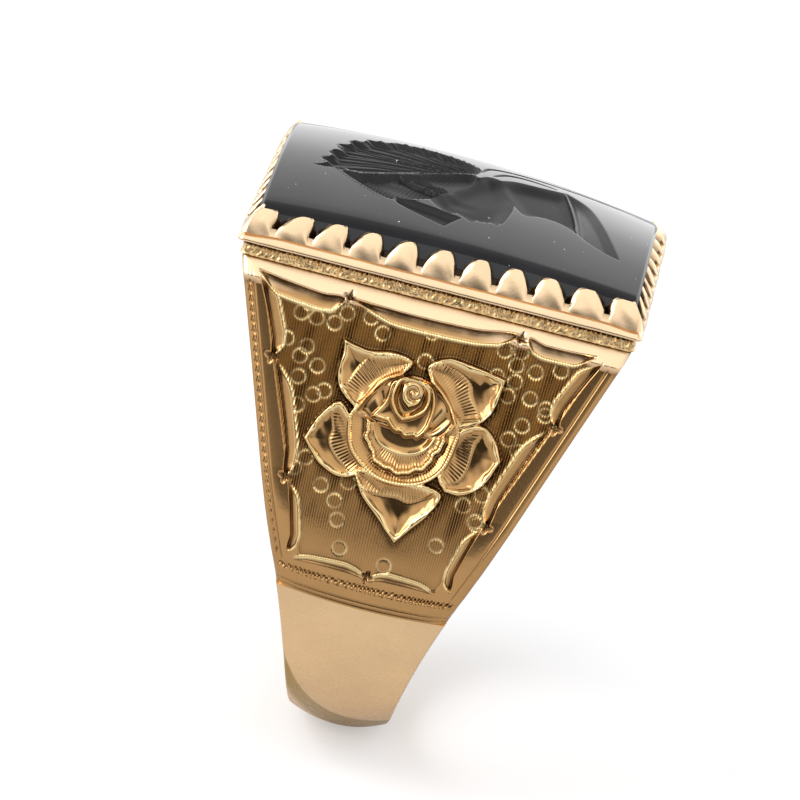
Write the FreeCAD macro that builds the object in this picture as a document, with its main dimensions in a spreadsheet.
import FreeCAD, Part
import math
import os
import Sketcher
from FreeCAD import Placement, Rotation, Vector

# Signet ring: a goldsmith's fabricated ring with a rectangular domed stone.
# Frame: origin at the centre of the finger hole, the hole's axis along Y,
# the stone up (+Z), the two engraved shoulders at +X and -X. Millimetres and degrees.

SIZES = (
    ("hole_radius", 9.75, "finger hole"),
    ("lining_wall", 0.40, "thickness of the sleeve that lines the finger hole"),
    ("band_wall", 1.10, "thickness of shank and shoulders outside the lining"),
    ("shank_crown", 16.0, "radius of the arc across the outside of the shank"),
    ("lower_crown", 24.0, "the same across the shoulder, fading in steps up to the head"),
    ("upper_crown", 38.0, "next step"),
    ("tangent_crown", 60.0, "next step, where the shoulder turns straight"),
    ("head_crown", 2000.0, "nearly flat at the head"),
    ("joint_angle", 7.5, "how far below the horizontal the shoulders meet the shank"),
    ("head_level", 12.60, "height of the top of the shoulders"),
    ("head_half_x", 7.15, "half the width of the head there, across the finger"),
    ("head_half_y", 9.31, "half the length of the head there, along the finger"),
    ("foot_half_y", 2.42, "half the width of the shank at the bottom"),
    ("bend_level", -5.75, "where the straight flare of the sides would meet the foot width"),
    ("bend_radius", 29.6, "bend that blends the flare into the foot"),
    ("cavity_half_x", 5.40, "half the width of the hollow under the stone"),
    ("plate_wall", 0.90, "thickness of the front and rear plates"),
    ("lid_wall", 0.80, "thickness of the plate that closes the hollow"),
    ("stone_half_x", 6.50, "half the width of the stone"),
    ("stone_half_y", 9.00, "half the length of the stone"),
    ("seat_gap", 0.02, "play between stone and setting"),
    ("milled_half_x", 7.10, "half width of the milled strip"),
    ("milled_half_y", 9.40, "half length of the milled strip"),
    ("milled_top", 13.28, "top of the milled strip"),
    ("wire_half_x", 7.42, "half width of the plain wire"),
    ("wire_half_y", 9.62, "half length of the plain wire"),
    ("wire_top", 13.72, "top of the plain wire"),
    ("wire_round", 0.18, "rounding of the plain wire's outer edges"),
    ("collet_half_x", 7.45, "half width of the collet at its foot"),
    ("collet_half_y", 9.70, "half length of the collet at its foot"),
    ("claw_half_x", 7.00, "half width over the claw tips"),
    ("claw_half_y", 9.25, "half length over the claw tips"),
    ("claw_top", 14.90, "height of the claw tips"),
    ("saddle_level", 14.12, "bottom of the notches between the claws"),
    ("notch_half_low", 0.20, "half the width of a notch at its bottom"),
    ("notch_half_high", 0.46, "half the width of a notch at the claw tips"),
    ("pitch_along", 1.745, "claw spacing on the long sides"),
    ("pitch_across", 1.64, "claw spacing on the short sides"),
    ("ledge_wall", 0.90, "width of the bearing under the stone"),
    ("stone_bottom", 13.50, "underside of the stone, on the bearing"),
    ("stone_crown", 15.90, "top of the stone's dome"),
    ("dome_across", 27.0, "radius of the dome across the finger"),
    ("dome_along", 100.0, "radius of the dome along the finger"),
)
LONG_GAPS = 10     # notches between the claws of a long side
SHORT_GAPS = 8     # and of a short side

# The radial sections of a shoulder: each one's place as a share of the way from the
# tangent line down to the joint, and the cell with its crown.
SHOULDER_CROWNS = ((0.0, "tangent_crown"), (0.33, "upper_crown"), (0.66, "lower_crown"), (1.0, "shank_crown"))
REACH = 12.0    # further than any face of the ring, for shapes that are trimmed afterwards
CORE = 4.0      # inner edge of those shapes, well inside the finger hole
DOME_CORE = 1.0 # inner edge of the turned shape whose outside is the stone's dome

doc = FreeCAD.newDocument("signet_ring")
sheet = doc.addObject("Spreadsheet::Sheet", "sizes")
for row, (alias, value, meaning) in enumerate(SIZES, start=1):
    sheet.set(f"A{row}", meaning)
    sheet.set(f"B{row}", str(value))
    sheet.setAlias(f"B{row}", alias)

DERIVED = (
    ("lining_radius", "=hole_radius + lining_wall"),
    ("outer_radius", "=hole_radius + lining_wall + band_wall"),
    ("tangent_angle", "=(atan2(head_level; head_half_x)"
                      " - acos(outer_radius / sqrt(head_level ^ 2 + head_half_x ^ 2))) / 1 deg"),
    ("flare_angle", "=atan2(head_half_y - foot_half_y; head_level - bend_level)"),
    ("bend_start", "=bend_level - bend_radius * tan(flare_angle / 2)"),
)
for row, (alias, formula) in enumerate(DERIVED, start=len(SIZES) + 1):
    sheet.setAlias(f"B{row}", alias)
    sheet.set(f"A{row}", alias.replace("_", " "))
    sheet.set(f"B{row}", formula)
    doc.recompute()


def size(alias):
    """The present value of a cell, as a plain number."""
    value = sheet.get(alias)
    return float(getattr(value, "Value", value))


def bind(item, expressions):
    """Ties properties of an object to expressions over the sheet."""
    for path, text in expressions.items():
        item.setExpression(path, text)


def slab(name, half_x, half_y, low, high):
    """An upright box centred on the Z axis, between two heights."""
    box = doc.addObject("Part::Box", name)
    bind(box, {
        "Length": f"2 * ({half_x})",
        "Width": f"2 * ({half_y})",
        "Height": f"({high}) - ({low})",
        "Placement.Base.x": f"-({half_x})",
        "Placement.Base.y": f"-({half_y})",
        "Placement.Base.z": low,
    })
    return box


def rod_along_y(name, radius):
    """A long cylinder on the finger hole's axis."""
    rod = doc.addObject("Part::Cylinder", name)
    rod.Placement = Placement(Vector(0, -REACH, 0), Rotation(Vector(1, 0, 0), -90))
    rod.Height = 2 * REACH
    bind(rod, {"Radius": radius})
    return rod


def cut(name, base, tool):
    item = doc.addObject("Part::Cut", name)
    item.Base = base
    item.Tool = tool
    return item


def common(name, first, second):
    item = doc.addObject("Part::Common", name)
    item.Base = first
    item.Tool = second
    return item


def fuse(name, shapes):
    item = doc.addObject("Part::MultiFuse", name)
    item.Shapes = shapes
    return item


def constrain(sketch, kind, *references, expression=None):
    """Adds a constraint, tied to the sheet when it carries a size."""
    index = sketch.addConstraint(Sketcher.Constraint(kind, *references))
    if expression:
        sketch.setExpression(f"Constraints[{index}]", expression)
    return index


def mirrored(name, source, normal):
    """The mirror image of an object in a plane through the origin."""
    item = doc.addObject("Part::Mirroring", name)
    item.Source = source
    item.Normal = normal
    return item


def polyline(sketch, points):
    """Joined straight lines through the points; gives their geometry numbers."""
    lines = []
    for start, end in zip(points, points[1:]):
        lines.append(sketch.addGeometry(Part.LineSegment(Vector(*start), Vector(*end))))
    for first, second in zip(lines, lines[1:]):
        constrain(sketch, "Coincident", first, 2, second, 1)
    return lines


def flare_prism(name, inset=None):
    """The room between the front and rear faces of the ring: upright at the foot,
    flaring in a bend and then straight to the head. inset moves both faces inwards."""
    less = f" - sizes.{inset}" if inset else ""
    moved = size(inset) if inset else 0.0
    foot = size("foot_half_y") - moved
    head = size("head_half_y") - moved
    level, start = size("head_level"), size("bend_start")
    bend, turn = size("bend_radius"), math.radians(size("flare_angle"))
    bend_end = (foot + bend * (1 - math.cos(turn)), start + bend * math.sin(turn))

    sketch = doc.addObject("Sketcher::SketchObject", name + "_outline")
    sketch.Placement = Placement(Vector(), Rotation(Vector(1, 1, 1), 120))
    slope, top, middle, bottom, upright = polyline(
        sketch, (bend_end, (head, level), (0, level), (0, -REACH), (foot, -REACH), (foot, start)))
    circle = Part.Circle(Vector(foot + bend, start), Vector(0, 0, 1), bend)
    arc = sketch.addGeometry(Part.ArcOfCircle(circle, math.pi - turn, math.pi))
    constrain(sketch, "Horizontal", top)
    constrain(sketch, "Vertical", middle)
    constrain(sketch, "Horizontal", bottom)
    constrain(sketch, "Vertical", upright)
    constrain(sketch, "Tangent", upright, 2, arc, 2)
    constrain(sketch, "Tangent", arc, 1, slope, 1)
    constrain(sketch, "PointOnObject", middle, 1, -2)
    constrain(sketch, "DistanceY", bottom, 1, -1, 1, REACH)
    constrain(sketch, "DistanceY", -1, 1, top, 1, level, expression="sizes.head_level")
    constrain(sketch, "DistanceX", -1, 1, top, 1, head, expression="sizes.head_half_y" + less)
    constrain(sketch, "DistanceX", -1, 1, upright, 1, foot, expression="sizes.foot_half_y" + less)
    constrain(sketch, "DistanceY", upright, 2, -1, 1, -start, expression="-sizes.bend_start")
    constrain(sketch, "Radius", arc, bend, expression="sizes.bend_radius")

    half = doc.addObject("Part::Extrusion", name + "_half")
    half.Base = sketch
    half.Dir = Vector(1, 0, 0)
    half.LengthFwd = 2 * REACH
    half.Symmetric = True
    half.Solid = True
    prism = fuse(name, [half, mirrored(name + "_twin", half, Vector(0, 1, 0))])
    prism.Refine = True
    return prism


def crowned_section(name, edge, crown, core=CORE):
    """A wide closed section, x outwards and y along the finger hole. Its outer edge is an
    arc through (edge, 0) of radius crown, both names of cells."""
    outer, radius = size(edge), size(crown)
    corner = outer - radius + math.sqrt(radius ** 2 - REACH ** 2)
    sketch = doc.addObject("Sketcher::SketchObject", name)
    lower, inner, upper = polyline(
        sketch, ((corner, -REACH), (core, -REACH), (core, REACH), (corner, REACH)))
    half_angle = math.asin(REACH / radius)
    circle = Part.Circle(Vector(outer - radius, 0), Vector(0, 0, 1), radius)
    arc = sketch.addGeometry(Part.ArcOfCircle(circle, -half_angle, half_angle))
    constrain(sketch, "Horizontal", lower)
    constrain(sketch, "Vertical", inner)
    constrain(sketch, "Horizontal", upper)
    constrain(sketch, "Coincident", lower, 1, arc, 1)
    constrain(sketch, "Coincident", upper, 2, arc, 2)
    constrain(sketch, "DistanceX", -1, 1, inner, 1, core)
    constrain(sketch, "DistanceY", inner, 1, -1, 1, REACH)
    constrain(sketch, "DistanceY", -1, 1, inner, 2, REACH)
    constrain(sketch, "PointOnObject", arc, 3, -1)
    constrain(sketch, "Radius", arc, radius, expression=f"sizes.{crown}")
    constrain(sketch, "DistanceX", arc, 3, -1, 1, radius - outer,
              expression=f"sizes.{crown} - sizes.{edge}")
    return sketch


def turned(name, section, angle):
    """The solid that a section sweeps about the Y axis."""
    item = doc.addObject("Part::Revolution", name)
    item.Source = section
    item.Axis = Vector(0, 1, 0)
    item.Solid = True
    bind(item, {"Angle": angle})
    return item


def loft(name, sections):
    """A solid through closed sections."""
    item = doc.addObject("Part::Loft", name)
    item.Sections = sections
    item.Solid = True
    return item


# ---- the room that the pieces share out ----
ring_room = flare_prism("ring_room")
inner_room = flare_prism("inner_room", inset="plate_wall")
lining_rod = rod_along_y("lining_rod", "sizes.lining_radius")
hole_rod = rod_along_y("hole_rod", "sizes.hole_radius")


def finger_lining():
    """The thin sleeve that the finger touches, a full circle trimmed to the ring's sides."""
    sleeve = cut("lining_sleeve", lining_rod, hole_rod)
    return common("finger_lining", sleeve, ring_room)


def shank():
    """The lower band between the two shoulders, D-shaped outside the lining."""
    section = crowned_section("shank_section", "outer_radius", "shank_crown")
    band = turned("shank_band", section, "180 - 2 * sizes.joint_angle")
    band.Placement = Placement(Vector(), Rotation(Vector(0, 1, 0), 1))
    bind(band, {"Placement.Rotation.Angle": "sizes.joint_angle"})
    return common("shank", cut("shank_shell", band, lining_rod), ring_room)


def shoulder_right():
    """The +X shoulder: the shank's line carried up, straightening to the flat head."""
    top = crowned_section("shoulder_top", "head_half_x", "head_crown")
    bind(top, {"Placement.Base.z": "sizes.head_level"})
    sections = [top]
    for share, crown in SHOULDER_CROWNS:
        section = crowned_section(f"shoulder_section_{len(sections)}", "outer_radius", crown)
        section.Placement = Placement(Vector(), Rotation(Vector(0, 1, 0), 1))
        bind(section, {"Placement.Rotation.Angle":
                       f"{share} * (sizes.tangent_angle + sizes.joint_angle) - sizes.tangent_angle"})
        sections.append(section)
    straight = loft("shoulder_straight", sections[:2])
    curved = loft("shoulder_curved", sections[1:])
    hollow = slab("shoulder_hollow", "sizes.cavity_half_x", f"{REACH}", "0", f"{2 * REACH}")
    solid = fuse("shoulder_solid", [straight, curved])
    shell = cut("shoulder_shell", cut("shoulder_outer", solid, lining_rod), hollow)
    return common("shoulder_right", shell, ring_room)


def shoulder_left(right):
    """The same shoulder at -X."""
    return mirrored("shoulder_left", right, Vector(1, 0, 0))


def side_plates():
    """The front (+Y) and rear (-Y) plates that close the hollow above the finger."""
    hollow = slab("plate_room", "sizes.cavity_half_x", f"{REACH}", "0", "sizes.head_level")
    outside = common("plate_outside", hollow, ring_room)
    rim = cut("plate_rim", outside, inner_room)
    arch = cut("plate_arch", rim, lining_rod)
    ahead = doc.addObject("Part::Box", "plate_ahead")
    ahead.Placement.Base = Vector(-REACH, 0, 0)
    ahead.Length = 2 * REACH
    ahead.Width = REACH
    ahead.Height = 2 * REACH
    front = common("front_plate", arch, ahead)
    return front, mirrored("rear_plate", front, Vector(0, 1, 0))


def head_lid():
    """The plate under the bearing that closes the top of the hollow."""
    lid_room = slab("lid_room", "sizes.cavity_half_x", f"{REACH}",
                    "sizes.head_level - sizes.lid_wall", "sizes.head_level")
    return common("head_lid", lid_room, inner_room)


def frame_of(name, half_x, half_y, low, high, hole_x, hole_y):
    """A rectangular frame: a slab with a rectangular hole through it."""
    body = slab(name + "_body", half_x, half_y, low, high)
    hole = slab(name + "_hole", hole_x, hole_y, f"({low}) - 1", f"({high}) + 1")
    return cut(name, body, hole)


OPENING = ("sizes.stone_half_x + sizes.seat_gap", "sizes.stone_half_y + sizes.seat_gap")


def milled_strip():
    """The narrow milled strip round the head, just above the shoulders."""
    return frame_of("milled_strip", "sizes.milled_half_x", "sizes.milled_half_y",
                    "sizes.head_level", "sizes.milled_top", *OPENING)


def on_outside(edge, half_x, half_y):
    """True for an edge that lies on the outer faces of a frame."""
    middle = edge.CenterOfMass
    return abs(abs(middle.x) - half_x) < 0.001 or abs(abs(middle.y) - half_y) < 0.001


def plain_wire():
    """The plain bright wire above the milled strip, its outer edges rounded."""
    body = frame_of("wire_frame", "sizes.wire_half_x", "sizes.wire_half_y",
                    "sizes.milled_top", "sizes.wire_top", *OPENING)
    doc.recompute()
    half_x, half_y = size("wire_half_x"), size("wire_half_y")
    outer = [number for number, edge in enumerate(body.Shape.Edges, start=1)
             if on_outside(edge, half_x, half_y)]
    rounded = doc.addObject("Part::Fillet", "plain_wire")
    rounded.Base = body
    rounded.Edges = [(number, size("wire_round"), size("wire_round")) for number in outer]
    return rounded


def frustum(name, low_x, low_y, high_x, high_y, low, high):
    """An upright block whose half widths change from low to high."""
    block = doc.addObject("Part::Wedge", name)
    block.Placement = Placement(Vector(), Rotation(Vector(1, 0, 0), 90))
    bind(block, {
        "Ymin": low, "Ymax": high,
        "Xmin": f"-({low_x})", "Xmax": low_x, "Zmin": f"-({low_y})", "Zmax": low_y,
        "X2min": f"-({high_x})", "X2max": high_x, "Z2min": f"-({high_y})", "Z2max": high_y,
    })
    return block


def notches(name, count, pitch, along_x):
    """Parallel cutters between the claws of two opposite sides, wider at the top."""
    low, high = "sizes.notch_half_low", "sizes.notch_half_high"
    reach = str(REACH)
    across = "y" if along_x else "x"
    cutters = []
    for index in range(count):
        halves = (reach, low, reach, high) if along_x else (low, reach, high, reach)
        cutter = frustum(f"{name}_{index + 1}", *halves, "sizes.saddle_level", "sizes.claw_top")
        bind(cutter, {f"Placement.Base.{across}": f"{index - (count - 1) / 2} * sizes.{pitch}"})
        cutters.append(cutter)
    group = doc.addObject("Part::Compound", name)
    group.Links = cutters
    return group


def collet():
    """The band that holds the stone, leaning in to a row of scalloped claws."""
    body = frustum("collet_body", "sizes.collet_half_x", "sizes.collet_half_y",
                   "sizes.claw_half_x", "sizes.claw_half_y", "sizes.wire_top", "sizes.claw_top")
    hole = slab("collet_hole", *OPENING, "sizes.wire_top - 1", "sizes.claw_top + 1")
    band = cut("collet_band", body, hole)
    long_sides = cut("collet_long_sides", band, notches("long_notches", LONG_GAPS, "pitch_along", True))
    return cut("collet", long_sides, notches("short_notches", SHORT_GAPS, "pitch_across", False))


def bearing():
    """The ledge inside the setting that the stone sits on."""
    return frame_of("bearing", "sizes.stone_half_x", "sizes.stone_half_y",
                    "sizes.head_level", "sizes.stone_bottom",
                    "sizes.stone_half_x - sizes.ledge_wall", "sizes.stone_half_y - sizes.ledge_wall")


def stone():
    """A rectangular stone with a low dome, curved more across the finger than along it."""
    section = crowned_section("dome_section", "dome_across", "dome_along", core=DOME_CORE)
    barrel = turned("dome_barrel", section, "360")
    bind(barrel, {"Placement.Base.z": "sizes.stone_crown - sizes.dome_across"})
    block = slab("stone_block", "sizes.stone_half_x", "sizes.stone_half_y",
                 "sizes.stone_bottom", "sizes.stone_crown + 1")
    return common("stone", block, barrel)


def build_ring():
    """Every separate piece of the ring."""
    right = shoulder_right()
    front, rear = side_plates()
    return [finger_lining(), shank(), right, shoulder_left(right), front, rear, head_lid(),
            milled_strip(), plain_wire(), collet(), bearing(), stone()]


def check_document(pieces):
    """Stops when an object failed, or a piece has no valid solid shape."""
    for item in doc.Objects:
        if "Invalid" in item.State or "Error" in item.State:
            raise SystemExit(f"{item.Name} failed: {item.State}")
    for item in pieces:
        if item.Shape.isNull() or not item.Shape.isValid():
            raise SystemExit(f"{item.Name} has no valid shape")
        if len(item.Shape.Solids) != 1:
            raise SystemExit(f"{item.Name} has {len(item.Shape.Solids)} solids, not 1")


pieces = build_ring()
doc.recompute()
check_document(pieces)
os.makedirs("parts", exist_ok=True)
for piece in pieces:
    piece.Label = piece.Name
    piece.Shape.exportStep(f"parts/{piece.Label}.step")
    print(piece.Label, round(piece.Shape.Volume, 2), "mm3")
